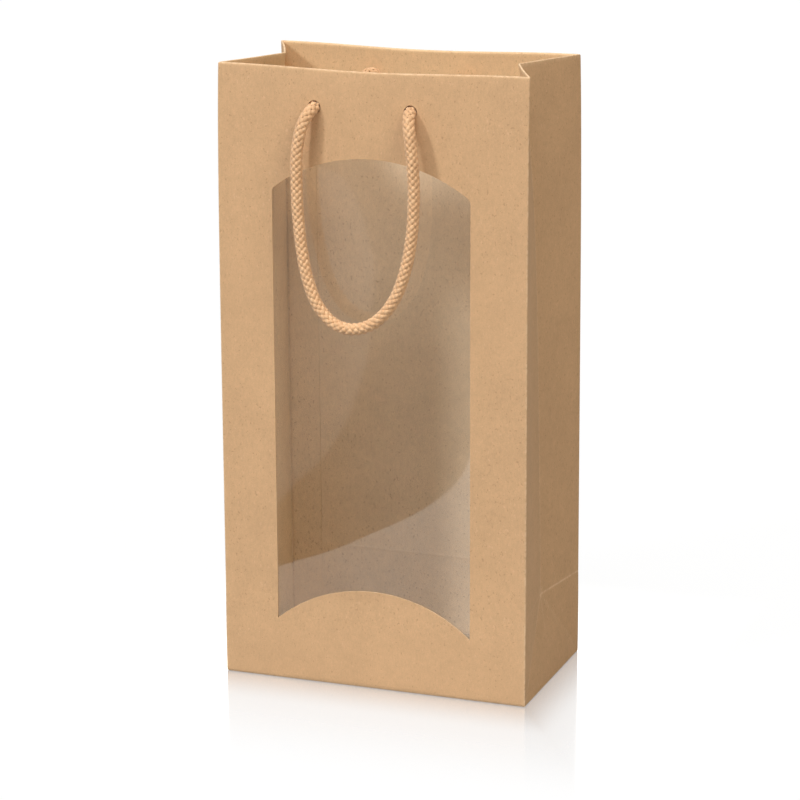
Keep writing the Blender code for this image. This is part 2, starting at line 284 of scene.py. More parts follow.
def mouth_dip(across, height):
    """How far the mouth's edge dips."""
    return dip_reach * middle_share(across) * smooth_step(height, dip_foot, bag_height)


print(f"bow at the middle of the mouth {mouth_bow(0.0, bag_height) / mm:.1f} mm")

# %% [markdown]
# ## Ropes
# Each handle is one length of braided cord, about 6.5 mm thick. It is knotted inside the
# bag, leaves through one hole, hangs down outside and goes back in through the other. The
# cord lies on one smooth line: it bends down as it leaves the hole, hangs in a U and comes
# back. A simulated cord would hang in an even curve. The line goes through given points
# instead, because a used cord keeps its own bends, and everything else follows it.

# %% Where the rope leaves the bag and how it hangs
braid_radius = 3.5 * mm
hole_radius = 3.8 * mm
hole_height = bag_height - 21.5 * mm
hole_offset = -4.0 * mm
hole_half_spacing = 27.7 * mm
hole_sag = 0.2 * mm
rope_standout = 9.0 * mm
loop_standout = 16.0 * mm
loop_drop = 118 * mm
bend_radius = 11.0 * mm
bend_start = math.radians(14)
bend_angles = [math.radians(angle) for angle in (34, 54, 74)]
rope_inside = hem_face + layer_gap
# A rope moves out with its bowed panel at the hole, and less and less between these depths
bow_fades = (5 * mm, 70 * mm)
# How far each leg stands from the middle, at the hole and at two depths below it
near_depths = (0.0, 8.5 * mm, 20 * mm)
leg_spreads = {-1: (27.7 * mm, 31.5 * mm, 33.7 * mm), 1: (27.7 * mm, 30.0 * mm, 31.8 * mm)}
# The rest of the loop, as (across, down its plane) in millimetres
loop_points = ((-34.4, 40.0), (-33.5, 59.0), (-31.2, 77.0), (-27.2, 94.0), (-20.5, 108.0),
               (-11.5, 116.0), (-3.0, 118.0), (5.5, 116.5), (14.8, 110.5), (22.2, 101.0),
               (27.6, 88.0), (31.0, 73.0), (32.8, 56.0), (33.1, 38.0))
print(f"ropes leave at {hole_height / mm:.1f} mm, holes {2 * hole_half_spacing / mm:.1f} mm apart")


# %% Points of the rope's line, from one knot to the other
def through_three(depth, depths, values):
    """The parabola through three values."""
    total = 0.0
    for index, value in enumerate(values):
        for other in range(3):
            if other != index:
                value *= (depth - depths[other]) / (depths[index] - depths[other])
        total += value
    return total


def outside_point(across, out, down, side):
    """A point out from a panel: side is -1 at the front and 1 at the back."""
    across += hole_offset
    bow = mouth_bow(across, hole_height) * (1 - smooth_step(down, *bow_fades))
    return Vector((across, side * (half_depth(hole_height) + out) - bow, hole_height - down))


def loop_point(across, down, side):
    """A point of the free loop, which leans out a little towards its foot."""
    out = rope_standout + (loop_standout - rope_standout) * down / loop_drop
    return outside_point(across, out, down, side)


def leg_points(hand, side):
    """The top of one leg, from the knot through the hole to where the leg hangs."""
    hole = hand * hole_half_spacing
    points = [outside_point(hole, -rope_inside, 0.0, side), outside_point(hole, 0.0, hole_sag, side)]
    for angle in bend_angles:
        out = bend_radius * (math.sin(angle) - math.sin(bend_start))
        down = bend_radius * (math.cos(bend_start) - math.cos(angle))
        across = hand * through_three(down, near_depths, leg_spreads[hand])
        points.append(outside_point(across, out, down, side))
    return points + [loop_point(hand * leg_spreads[hand][-1], near_depths[-1], side)]


def rope_route(side):
    loop = [loop_point(across * mm, down * mm, side) for across, down in loop_points]
    return leg_points(-1, side) + loop + leg_points(1, side)[::-1]


print(len(rope_route(-1)), "points on each rope's route")


# %% A smooth line through the points, and even stations along it
def smooth_line(points, steps=12):
    """A curve through the points, with slopes weighed by the stretches beside them."""
    gaps = [(after - before).length for before, after in zip(points, points[1:])]
    slopes = [(points[1] - points[0]) / gaps[0]]
    for index in range(1, len(points) - 1):
        before = (points[index] - points[index - 1]) / gaps[index - 1]
        after = (points[index + 1] - points[index]) / gaps[index]
        share = gaps[index - 1] / (gaps[index - 1] + gaps[index])
        slopes.append(before.lerp(after, share))
    slopes.append((points[-1] - points[-2]) / gaps[-1])
    line = [points[0]]
    for index, gap in enumerate(gaps):
        for step in range(1, steps + 1):
            t = step / steps
            line.append(points[index] * (2 * t ** 3 - 3 * t ** 2 + 1)
                        + slopes[index] * gap * (t ** 3 - 2 * t ** 2 + t)
                        + points[index + 1] * (3 * t ** 2 - 2 * t ** 3)
                        + slopes[index + 1] * gap * (t ** 3 - t ** 2))
    return line


def reached_along(line):
    """How far along the line each of its points lies."""
    reached = [0.0]
    for before, after in zip(line, line[1:]):
        reached.append(reached[-1] + (after - before).length)
    return reached


def evenly_spaced(line, spacing):
    """Points along a line about a spacing apart, with both ends kept."""
    reached = reached_along(line)
    count = round(reached[-1] / spacing)
    spaced = []
    index = 0
    for step in range(count + 1):
        target = reached[-1] * step / count
        while index < len(line) - 2 and reached[index + 1] < target:
            index += 1
        share = (target - reached[index]) / (reached[index + 1] - reached[index])
        spaced.append(line[index].lerp(line[index + 1], share))
    return spaced


rope_lines = {side: smooth_line(rope_route(side)) for side in (-1, 1)}
rope_length = reached_along(rope_lines[-1])[-1]
print(f"each rope is {rope_length / mm:.0f} mm long from knot to knot")

# %% [markdown]
# The cord is a plain braid of ten strands round a core: five run to the left and five to
# the right, and each passes over one and under the next. Modelling the strands themselves
# costs more faces than a bump, but their bumps then show at the rope's outline and cast
# their own small shadows. Each strand is a flat oval that winds round the line and rises
# and falls once per crossing.

# %% Tubes along a line
station_spacing = 0.46 * mm


def carried_axes(line):
    """For each point of a line its direction and two axes across it that don't twist."""
    directions = []
    for index in range(len(line)):
        before = line[max(index - 1, 0)]
        after = line[min(index + 1, len(line) - 1)]
        directions.append((after - before).normalized())
    across = directions[0].orthogonal().normalized()
    axes = []
    for direction in directions:
        across = (across - direction * across.dot(direction)).normalized()
        axes.append((direction, across, direction.cross(across)))
    return axes


def tube_faces(first, rings, sides):
    """Faces of a closed tube whose rings of vertices follow each other from first."""
    faces = []
    for ring in range(rings - 1):
        for side in range(sides):
            near = first + ring * sides
            after = (side + 1) % sides
            faces.append((near + side, near + after, near + sides + after, near + sides + side))
    last = first + (rings - 1) * sides
    faces.append(tuple(range(first + sides - 1, first - 1, -1)))
    faces.append(tuple(range(last, last + sides)))
    return faces


print(f"a station every {station_spacing / mm:.2f} mm of rope")

# %% A strand and the core at one station
strands_each_way = 5
crossing_step = 1.75 * mm
strand_sides = 8
strand_centre_share = 0.70
strand_lift_share = 0.13
strand_thickness_share = 0.175
strand_width_share = 0.325
strand_tone_step = 0.01
core_share = 0.60
core_sides = 14


def strand_ring(station, way, strand):
    """The points round one strand at a station, each with how far out it lies as a share of
    the rope's radius, and its place along the strand."""
    middle, radius, (direction, across, beside), reached = station
    turn = math.pi / strands_each_way * (2 * strand + way * reached / crossing_step)
    outward = across * math.cos(turn) + beside * math.sin(turn)
    around = beside * math.cos(turn) - across * math.sin(turn)
    slope = radius * math.pi / strands_each_way / crossing_step
    along = (direction + around * way * slope).normalized()
    sideways = outward.cross(along)
    lift = strand_lift_share * way * math.cos(math.pi * reached / crossing_step)
    centre = middle + outward * radius * (strand_centre_share + lift)
    ring = []
    for side in range(strand_sides):
        angle = 2 * math.pi * side / strand_sides
        point = (centre + outward * radius * strand_thickness_share * math.cos(angle)
                 + sideways * radius * strand_width_share * math.sin(angle))
        yarn = (reached, math.sin(angle) * mm, strand * strand_tone_step + way)
        ring.append((point, (point - middle).length / radius, yarn))
    return ring


def core_ring(station):
    """The points round the core at a station, told in the same way."""
    middle, radius, (direction, across, beside), reached = station
    ring = []
    for side in range(core_sides):
        angle = 2 * math.pi * side / core_sides
        outward = across * math.cos(angle) + beside * math.sin(angle)
        ring.append((middle + outward * radius * core_share, core_share, (0.0, 0.0, 0.0)))
    return ring


print(f"{2 * strands_each_way} strands, a crossing every {crossing_step / mm:.1f} mm")


# %% A braid of all its strands round its core
def braid(line, radii, seed):
    """Vertices and faces, and for each vertex the tone of its strand and the two values that
    its ring gives."""
    draw = random.Random(seed)
    stations = list(zip(line, radii, carried_axes(line), reached_along(line)))
    tubes = [([strand_ring(station, way, strand) for station in stations], draw.random())
             for way in (-1, 1) for strand in range(strands_each_way)]
    tubes.append(([core_ring(station) for station in stations], 0.0))
    points, faces, tones = [], [], []
    for rings, tone in tubes:
        faces += tube_faces(len(points), len(rings), len(rings[0]))
        points += [point for ring in rings for point in ring]
        tones += [tone] * (len(points) - len(tones))
    vertices, crests, yarns = zip(*points)
    return vertices, faces, tones, crests, yarns


print(f"a rope has {round(rope_length / station_spacing) + 1} stations")

# %% [markdown]
# The cord is spun from paper or cotton in the bag's own colour, a little lighter and
# warmer. Its finish gives each strand its own tone and draws fine fibres along it. The
# places along the strands come from the mesh, so the fibres follow every turn. It also
# paints shade into the gaps between strands, darker the further in a point lies, so the
# core, which is seen only in shade, is painted nearly the darkest brown.

# %% Finish of the rope
rope_light = (0.790, 0.510, 0.290, 1)
rope_mid = (0.640, 0.380, 0.200, 1)
# Dark flecks of the cord, and also the painted shade between its strands and on its core
rope_fleck_and_painted_shade = (0.230, 0.115, 0.050, 1)


def rope_finish():
    rope = new_finish("braided_rope_cord")
    yarn = rope.attribute("yarn", "Vector")
    fibres = rope.speckle(rope.stretched(yarn, (500, 3500, 100)), 1.0, detail=3.0)
    patches = rope.speckle(rope.place(), 260.0)
    share = fibres * 0.55 + patches * 0.35 + rope.attribute("tone") * 0.3
    body = rope.mix(share.above(0.25, 0.85), rope_mid, rope_light)
    flecks = rope.speckle(rope.place(), 1500.0, detail=1.0)
    body = rope.mix(flecks.above(0.66, 0.76) * 0.5, body, rope_fleck_and_painted_shade)
    # Painted shade: darker between the strands and on the core, the further in a point lies
    gap = 1 - rope.attribute("crest").above(0.60, 0.88)
    colour = rope.mix(gap * 0.92, body, rope_fleck_and_painted_shade)
    roughness = fibres * 0.2 + 0.7
    return rope.principled({
        "Base Color": colour, "Roughness": roughness, "Normal": rope.bump(fibres, 0.15 * mm, 0.5),
        "Sheen Weight": 0.25, "Sheen Roughness": 0.5})


rope_material = rope_finish()
print("rope finish:", len(rope_material.node_tree.nodes), "nodes")

# %% [markdown]
# Every new piece is made the same way: a mesh from vertices and faces, its normals turned
# outward, and smooth shading except at cut edges. After that each piece of the bag except
# the ropes is told what it rides on.


# %% Make a piece from vertices and faces
def make_piece(name, vertices, faces, materials, face_materials=None, sharp_angle=42):
    mesh = bpy.data.meshes.new(name)
    mesh.from_pydata([tuple(vertex) for vertex in vertices], [], faces)
    for material in materials:
        mesh.materials.append(material)
    if face_materials is not None:
        mesh.polygons.foreach_set("material_index", face_materials)
    shaped = bmesh.new()
    shaped.from_mesh(mesh)
    bmesh.ops.recalc_face_normals(shaped, faces=shaped.faces)
    shaped.to_mesh(mesh)
    shaped.free()
    mesh.shade_smooth()
    mesh.set_sharp_from_angle(angle=math.radians(sharp_angle))
    print(f"{name}: {len(mesh.vertices)} vertices, {len(mesh.polygons)} faces")
    return put_in_scene(name, mesh)


def give_values(piece, name, values):
    """Store one number per vertex, for the finish to read."""
    piece.data.attributes.new(name, "FLOAT", "POINT").data.foreach_set("value", values)


def give_places(piece, name, places):
    """Store one vector per vertex, for the finish to read."""
    flat = [number for place in places for number in place]
    piece.data.attributes.new(name, "FLOAT_VECTOR", "POINT").data.foreach_set("vector", flat)


def make_braid(name, line, radii, seed):
    vertices, faces, tones, crests, yarns = braid(line, radii, seed)
    piece = make_piece(name, vertices, faces, [rope_material], sharp_angle=70)
    give_values(piece, "tone", tones)
    give_values(piece, "crest", crests)
    give_places(piece, "yarn", yarns)
    return piece


# %% [markdown]
# ## Knots
# Inside the mouth each rope ends in a small tight knot that can't slip through its hole.
# It is the same braid, laid once round its own standing part and pulled down on the hem,
# with a short cut tail. The braid is thinner there, because the knot squeezes it. A lump
# with a bumpy finish would do from afar, but one knot shows over the mouth's edge.

# %% A tied knot on the inside of the hem
knot_radius = 2.55 * mm
squeeze_stations = 8
# The standing part, as (millimetres in from the hem, share of the knot's rise)
knot_core = ((0.0, 0.0), (1.8, 0.1), (4.4, 0.6))
knot_top = 7.2 * mm
knot_top_reach = 1.2 * mm
knot_starts = {-1: math.radians(-75), 1: math.radians(-120)}
knot_turn_radius = 4.55 * mm
knot_turn_angles = [math.radians(angle) for angle in range(30, 331, 30)]
knot_high = 8.1 * mm
knot_low = 2.7 * mm
knot_pull = 0.8
knot_rises = {-1: 2.6 * mm, 1: 0.6 * mm}
tail_inward = 4.2 * mm
tail_reach = 7.0 * mm
tail_angle = math.radians(372)
side_names = {-1: "front", 1: "rear"}
hand_names = {-1: "left", 1: "right"}


def knot_point(hole, side, inward, reach, angle, rise):
    """A point of the knot: a distance in from the hem, and round a line just above the hole's."""
    return Vector((hole.x + reach * math.cos(angle), hole.y - side * (rope_inside + inward),
                   hole.z + rise + reach * math.sin(angle)))


def knot_line(hole, hand, side):
    """The knot's line: in from the hem, once round outside itself towards the hem, and out."""
    start = knot_starts[hand]
    rise = knot_rises[hand]
    points = [knot_point(hole, side, inward * mm, 0.0, 0.0, rise * share) for inward, share in knot_core]
    points.append(knot_point(hole, side, knot_top, knot_top_reach, start, rise))
    for index, angle in enumerate(knot_turn_angles):
        share = index / (len(knot_turn_angles) - 1)
        inward = knot_high + (knot_low - knot_high) * share ** knot_pull
        points.append(knot_point(hole, side, inward, knot_turn_radius, start + hand * angle, rise))
    points.append(knot_point(hole, side, tail_inward, tail_reach, start + hand * tail_angle, rise))
    return evenly_spaced(smooth_line(points), station_spacing)


def tied_knot(hand, side):
    line = knot_line(outside_point(hand * hole_half_spacing, 0.0, 0.0, side), hand, side)
    radii = [braid_radius + (knot_radius - braid_radius) * min(index / squeeze_stations, 1.0)
             for index in range(len(line))]
    name = f"{side_names[side]}_{hand_names[hand]}_tied_knot"
    knot = make_braid(name, line, radii, seed=20 + 3 * side + hand)
    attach(knot, "root")
    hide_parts(f"{side_names[side]}_{hand_names[hand]}_rope_knot")
    return knot


knots = {(hand, side): tied_knot(hand, side) for side in (-1, 1) for hand in (-1, 1)}

# %% [markdown]
# The rope itself crosses the joint: its ends stay in the holes and its loop swings. Here it
# is made whole in its resting shape and takes the place of the packed loop.

# %% Hang the ropes
# Two places on the rope's leg, as (out of the panel, down from the hole)
blend_start = (-0.5 * mm, -1.4 * mm)
blend_end = (7.5 * mm, 20.8 * mm)


def hang_rope(side):
    name = side_names[side]
    line = evenly_spaced(rope_lines[side], station_spacing)
    rope = make_braid(f"{name}_rope", line, [braid_radius] * len(line), seed=5 + side)
    start = outside_point(0.0, *blend_start, side)
    end = outside_point(0.0, *blend_end, side)
    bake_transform(rope)
    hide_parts(f"{name}_rope_loop")
    leaves = outside_point(-hole_half_spacing, 0.0, 0.0, side)
    [tuple(point) for point in evenly_spaced(rope_lines[side], 4 * mm)]


for side in (-1, 1):
    hang_rope(side)

# %% [markdown]
# ## Kraft paper
# Brown kraft paper is matt, with short fibres that lie mostly one way, a faint cloudiness
# and scattered dark and light flecks. Its folds are rubbed a little lighter, and along the
# upright edges and the mouth's edge the same pale colour is also a painted highlight. Object
# places drive the noises, so the grain has its real size, and the mesh says where the folds are.
# One finish serves four colours: the outer face; the inner face, paler and painted lighter
# still to stand in for the dim light inside the bag; the hem, which is the outer face turned
# in and painted lighter as if more light fell on it; and the pale cut edge.

# %% Finish of the paper: outside, inside, hem and cut edge
kraft_outside = (0.610, 0.392, 0.220, 1)
# The inner face is paler, and painted lighter still to stand in for the light inside the bag
kraft_inside_painted_lighter = (0.860, 0.680, 0.490, 1)
# The hem is the outer paper painted lighter, as if more light fell on it
kraft_hem_painted_lighter = (0.730, 0.505, 0.292, 1)
kraft_cut = (0.800, 0.600, 0.400, 1)
fleck_dark = (0.330, 0.180, 0.085, 1)
fleck_light = (0.760, 0.520, 0.320, 1)
# Pale colour of rubbed folds, which is also a painted highlight on the upright edges and the mouth's edge
pale_rub_and_highlight_colour = (0.860, 0.640, 0.420, 1)


def kraft_finish(name, colour, wear_share):
    kraft = new_finish(name)
    place = kraft.place()
    fibres = kraft.speckle(kraft.stretched(place, (900, 900, 400)), 1.0, detail=3.0, roughness=0.6)
    grain = kraft.speckle(place, 1600.0, detail=2.0)
    clouds = kraft.speckle(place, 45.0, detail=3.0)
    drift = kraft.speckle(place, 11.0, detail=1.0)
    mottle = kraft.speckle(place, 190.0, detail=1.0)
    tone = fibres * 0.24 + grain * 0.26 + mottle * 0.12 + clouds * 0.14 + drift * 0.14 + 0.55
    shade = kraft.node("ShaderNodeCombineColor", {}, {"Red": tone, "Green": tone, "Blue": tone})
    body = kraft.mix(1.0, colour, shade, "MULTIPLY")
    dark = kraft.speckle(kraft.stretched(place, (1, 1, 0.7)), 900.0, detail=1.0).above(0.655, 0.74)
    body = kraft.mix(dark * 0.40, body, fleck_dark)
    light = kraft.speckle(kraft.stretched(place, (1.1, 1.1, 0.6)), 780.0, detail=1.0).above(0.66, 0.75)
    body = kraft.mix(light * 0.35, body, fleck_light)
    scuffs = kraft.speckle(place, 420.0, detail=2.0).above(0.35, 0.62) * 0.7 + 0.3
    # Rubbed folds, with a painted highlight along the upright edges and the mouth's edge
    rubbed_and_highlit = kraft.attribute("wear") * scuffs * wear_share
    body = kraft.mix(rubbed_and_highlit, body, pale_rub_and_highlight_colour)
    relief = kraft.bump(fibres * 0.6 + grain * 0.4, 0.10 * mm, 0.35)
    return kraft.principled({"Base Color": body, "Roughness": 0.78 + grain * 0.12,
                             "Normal": relief, "Specular IOR Level": 0.3})


outside_paper = kraft_finish("kraft_paper_outside_face", kraft_outside, 0.80)
inside_paper = kraft_finish("kraft_paper_inside_face", kraft_inside_painted_lighter, 0.50)
hem_paper_painted_lighter = kraft_finish("kraft_paper_hem_painted_lighter", kraft_hem_painted_lighter, 0.80)
cut_paper = kraft_finish("kraft_paper_cut_edge", kraft_cut, 0.0)
print("paper finish:", len(outside_paper.node_tree.nodes), "nodes")

# %% [markdown]
# ## The folded paper sleeve
# Front, back, gussets and hem are one sheet on the real bag, so they are one mesh here. A
# grid of points runs round the bag and up it, over the mouth and down inside as the hem.
# It is made twice, for the outer and the inner face, and the two are joined along every
# cut edge. The grid's own lines follow the window, so its edge is clean without a cutter.

# %% Small movements of the front and back panel
panel_bows = {-1: 0.08 * mm, 1: 0.35 * mm}
bow_free_from, bow_free_to = (0.0, 60 * mm), (255 * mm, 300 * mm)
wave_width, wave_height, wave_seed = 55 * mm, 85 * mm, 3.7
crease_groove = 0.12 * mm
crease_width = 0.8 * mm
crease_shares = {-1: 0.2, 1: 1.0}


def nearness(distance, width):
    """1 on a line and 0 well away from it. The width is where it has fallen to about a third."""
    return math.exp(-(distance / width) ** 2)


def panel_wave(across, height, side):
    """How far a panel stands in or out of its plane. It is still at its folds and its hem."""
    free = (1 - (across / half_width) ** 2) * smooth_step(height, *bow_free_from)
    free *= 1 - smooth_step(height, *bow_free_to)
    wave = noise.noise(Vector((across / wave_width, height / wave_height, wave_seed * side)))
    groove = nearness(height - fold_height, crease_width) * crease_shares[side]
    return free * panel_bows[side] * wave * 2 + groove * crease_groove


def wall_point(across, height, inset, side):
    """A point of the front or back wall, a distance in from its outer face."""
    depth = half_depth(height) - inset - panel_wave(across, height, side)
    return Vector((across, side * depth - mouth_bow(across, height), height - mouth_dip(across, height)))


largest = max(abs(panel_wave(across * mm, height * mm, 1))
              for across in range(-84, 85, 4) for height in range(0, 350, 5))
print(f"the back panel moves {largest / mm:.2f} mm at most")

# %% Small movements of the gussets
middle_softness = 0.7 * mm
crease_softness = 0.16 * mm
gusset_bow = 0.55 * mm
gusset_bow_heights = (55 * mm, 130 * mm)


def gusset_tuck(along, height):
    """How far the gusset's outer face lies in from the bag's side, at this distance along Y."""
    depth = half_depth(height)
    deepest = foot_tuck if height < fold_height else crease_tuck(height)
    soft_along = math.sqrt(along ** 2 + middle_softness ** 2) if height > fold_height else along
    plane = deepest * (depth - soft_along) / depth
    triangle = foot_tuck * max(height, 0.0) / fold_height
    softness = min(crease_softness, 0.5 * triangle + 1e-9)
    closeness = max(softness - abs(plane - triangle), 0.0) / softness
    tuck = min(plane, triangle) - closeness * closeness * softness / 4
    share = min(max(along / depth, 0.0), 1.0)
    bow = gusset_bow * math.sin(math.pi * share) ** 2 * smooth_step(height, *gusset_bow_heights)
    groove = nearness(height - fold_height, crease_width) * crease_groove
    return tuck + bow + groove * smooth_step(share, 0.0, 0.1) * (1 - share)


print(f"gusset tuck at the mouth {gusset_tuck(0.0, bag_height) / mm:.2f} mm")

# %% [markdown]
# The window has straight sides and arched ends. For each column of the grid its foot and
# its top are known heights, and the rows between are spread to meet them, so that a row of
# points runs along each arch.

# %% The window's outline
window_half = 57.5 * mm
window_foot = 35.5 * mm
window_foot_rise = 21.5 * mm
window_shoulder = 282.5 * mm
window_top_rise = 19.5 * mm
corner_cut = 2.0 * mm
level_again = 312 * mm


def arch(across, rise):
    """Height of an arch over its chord."""
    radius = (window_half ** 2 + rise ** 2) / (2 * rise)
    return rise - radius + math.sqrt(radius ** 2 - min(abs(across), window_half) ** 2)


corner_run = corner_cut * math.cos(math.asin(2 * window_half * window_top_rise
                                             / (window_half ** 2 + window_top_rise ** 2)))
corner_inner = window_half - corner_run
corner_low = window_shoulder - corner_cut
corner_high = window_shoulder + arch(corner_inner, window_top_rise)


def window_top(across):
    """Height of the window's top edge, with its rounded shoulders."""
    if abs(across) <= corner_inner:
        return window_shoulder + arch(across, window_top_rise)
    left = 1 - math.sqrt(max(window_half - abs(across), 0.0) / corner_run)
    return (1 - left) ** 2 * corner_high + 2 * left * (1 - left) * window_shoulder + left ** 2 * corner_low


def spread_row(across, height):
    """The height to which a level row is moved at this column of the front panel."""
    if abs(across) >= window_half or height >= level_again:
        return height
    foot = window_foot + arch(across, window_foot_rise)
    top = window_top(across)
    if height <= window_foot:
        return height * foot / window_foot
    if height >= corner_low:
        return top + (height - corner_low) / (level_again - corner_low) * (level_again - top)
    return foot + (height - window_foot) / (corner_low - window_foot) * (top - foot)


print(f"window {2 * window_half / mm:.0f} mm wide, top at {window_top(0.0) / mm:.1f} mm")


# %% Columns across a panel
def steps(start, end, count):
    """Evenly spaced values after start, up to end."""
    return [start + (end - start) * step / count for step in range(1, count + 1)]


def stretches(start, *stops):
    """Values from start on through several stretches, each told as (its end, how many)."""
    values = [start]
    for stop, count in stops:
        values += steps(start, stop, count)
        start = stop
    return values


column_width = 3.2 * mm
hole_block = 7.0 * mm
block_cells = 8
edge_cells = 8
shoulder_cells = 5
hole_places = [hole_offset + hand * hole_half_spacing for hand in (-1, 1)]
shoulder_columns = [window_half - corner_run * (1 - step / shoulder_cells) ** 2
                    for step in range(shoulder_cells + 1)]

panel_columns = stretches(-panel_end, (-window_half, edge_cells))[:-1]
panel_columns += [-column for column in reversed(shoulder_columns)]
for place in hole_places:
    start = panel_columns[-1]
    count = max(3, round((place - hole_block - start) / column_width))
    panel_columns += stretches(start, (place - hole_block, count), (place + hole_block, block_cells))[1:]
start = panel_columns[-1]
panel_columns += steps(start, corner_inner, round((corner_inner - start) / column_width))[:-1]
panel_columns += shoulder_columns + steps(window_half, panel_end, edge_cells)
print(len(panel_columns), "columns across a panel")

# %% Rows up the wall and down the hem
crease_margin = 1.5 * mm
rim_margin = 2.6 * mm
hem_foot = 310 * mm
block_low, block_high = hole_height - hole_block, hole_height + hole_block
wall_heights = stretches(
    0.0, (window_foot, 19), (fold_height - crease_margin, 7), (fold_height + crease_margin, 6),
    (corner_low, 58), (level_again, 9), (block_low, 4), (block_high, block_cells),
    (bag_height - rim_margin, 5))[1:]
hem_heights = [height for height in reversed(wall_heights) if height >= level_again - 1e-9] + [hem_foot]
print(len(wall_heights), "rows up the wall and", len(hem_heights), "down the hem")

# %% [markdown]
# A row of the sheet goes once round the bag. Each corner is a small fillet between the
# panel's line and the gusset's line, which works for every layer: the further in a layer
# lies, the further in the two lines meet.

# %% Round one corner of the bag
corner_radius = 0.9 * mm
end_cells = 3
fillet_cells = 6
gusset_cells = 28
slope_reach = 2.5 * mm
gusset_shares = [step / gusset_cells for step in range(1, gusset_cells)] + [0.982, 0.992, 1.0]


def quarter(height, panel_inset, gusset_inset, fillet, hand, half):
    """Points from the end of a panel round one corner to the middle crease of the gusset,
    each with its share of the way from panel to gusset."""
    depth = half_depth(height)
    near = depth - panel_inset
    slope = (gusset_tuck(depth - slope_reach - panel_inset, height)
             - gusset_tuck(near, height)) / slope_reach
    slant = math.sqrt(1 + slope ** 2)
    corner = Vector((half_width - gusset_tuck(near, height) - gusset_inset * slant, near))
    to_panel = Vector((-1.0, 0.0))
    to_middle = Vector((-slope, -1.0)).normalized()
    opening = to_panel.angle(to_middle)
    tangent = fillet / math.tan(opening / 2)
    centre = corner + (to_panel + to_middle).normalized() * fillet / math.sin(opening / 2)
    first = corner + to_panel * tangent - centre
    last = corner + to_middle * tangent - centre
    points = []
    for step in range(1, end_cells):
        across = panel_end + (corner.x - tangent - panel_end) * step / end_cells
        points.append((across, near, 0.0))
    swing = math.pi - opening
    for step in range(fillet_cells + 1):
        share = step / fillet_cells
        reach = first * math.sin(swing * (1 - share)) + last * math.sin(swing * share)
        spot = centre + reach / math.sin(swing)
        points.append((spot.x, spot.y, share))
    start = points[-1][1]
    for share in gusset_shares:
        along = start * (1 - share)
        points.append((half_width - gusset_tuck(along, height) - gusset_inset * slant, along, 1.0))
    return [(hand * x, half * y, share) for x, y, share in points]


quarter_length = len(quarter(bag_height, 0.0, 0.0, corner_radius, 1, 1))
print(quarter_length, "points round one corner")


# %% One row of the sheet, once round the bag
def sheet_row(height, panel_inset, gusset_inset, fillet, panel_rise=0.0, gusset_rise=0.0, arched=True):
    """All points of one row, from the left of the front panel and on round to it again."""

    def panel(columns, side):
        points = []
        for across in columns:
            level = spread_row(across, height) if arched and side < 0 else height
            points.append(wall_point(across, level, panel_inset, side))
            points[-1].z += panel_rise
        return points

    row = panel(panel_columns, -1)
    for hand, halves in ((1, (-1, 1)), (-1, (1, -1))):
        there, back = (quarter(height, panel_inset, gusset_inset, fillet, hand, half) for half in halves)
        for x, y, share in there + back[:-1][::-1]:
            rise = panel_rise + (gusset_rise - panel_rise) * share
            row.append(Vector((x, y, height + rise)))
        if hand > 0:
            row += panel(panel_columns[::-1], 1)
    return row


print(len(sheet_row(bag_height, 0.0, 0.0, corner_radius)), "points round the bag")

# %% [markdown]
# The rows of both faces are listed together. At the foot the sheet turns in under the bag,
# and at the mouth it goes over in half a circle: a wide one at the panels, where the card
# strip lies in the fold, and a narrow one at the gussets.

# %% All rows of the sheet, for its outer and its inner face
foot_radius = 0.9 * mm
foot_steps = 3
mouth_steps = 8
hem_corner = 0.5 * mm
inner_corner = corner_radius - paper
foot_inner = foot_radius - paper
panel_turn = hem_face / 2
gusset_turn = (2 * paper + layer_gap) / 2
panel_inner = panel_turn - paper
gusset_inner = gusset_turn - paper

outer_rows, inner_rows = [], []
for step in range(foot_steps):
    angle = math.pi / 2 * step / foot_steps
    for rows, radius, fillet in ((outer_rows, foot_radius, corner_radius),
                                 (inner_rows, foot_inner, inner_corner)):
        inset = foot_radius - radius * math.sin(angle)
        rows.append(sheet_row(foot_radius - radius * math.cos(angle), inset, inset, fillet))
for height in wall_heights:
    outer_rows.append(sheet_row(height, 0.0, 0.0, corner_radius))
    inner_rows.append(sheet_row(height, paper, paper, inner_corner))
for step in range(mouth_steps + 1):
    angle = math.pi * step / mouth_steps
    gone, up = (1 - math.cos(angle)) / 2, 1 - math.sin(angle)
    fillet = corner_radius + (hem_corner - corner_radius) * gone
    outer_rows.append(sheet_row(bag_height, hem_face * gone, 2 * gusset_turn * gone, fillet,
                                -panel_turn * up, -gusset_turn * up))
    inner_rows.append(sheet_row(bag_height, paper + 2 * panel_inner * gone, paper + 2 * gusset_inner * gone,
                                fillet, -paper - panel_inner * up, -paper - gusset_inner * up))
hem_start = len(outer_rows)
for height in hem_heights:
    outer_rows.append(sheet_row(height, hem_face, 2 * gusset_turn, hem_corner, arched=False))
    inner_rows.append(sheet_row(height, hem_back, 2 * gusset_turn - paper, hem_corner + paper, arched=False))
print(len(outer_rows), "rows of", len(outer_rows[0]), "points on each face")

# %% [markdown]
# Faces join neighbouring points, except in the window and in a small square round each
# rope hole. Each square is filled with rings that go from its edge to the hole's circle.
# One function joins the faces of the sleeve, the card strips, the seam flap and the film.

# %% Blocks of the grid, and rings round the rope holes
ring_steps = 5
ring_crowding = 0.8
ring_pucker = 0.10 * mm


def nearest(values, target):
    return min(range(len(values)), key=lambda index: abs(values[index] - target))


def in_block(column, row, cells):
    return cells[0] <= column < cells[1] and cells[2] <= row < cells[3]


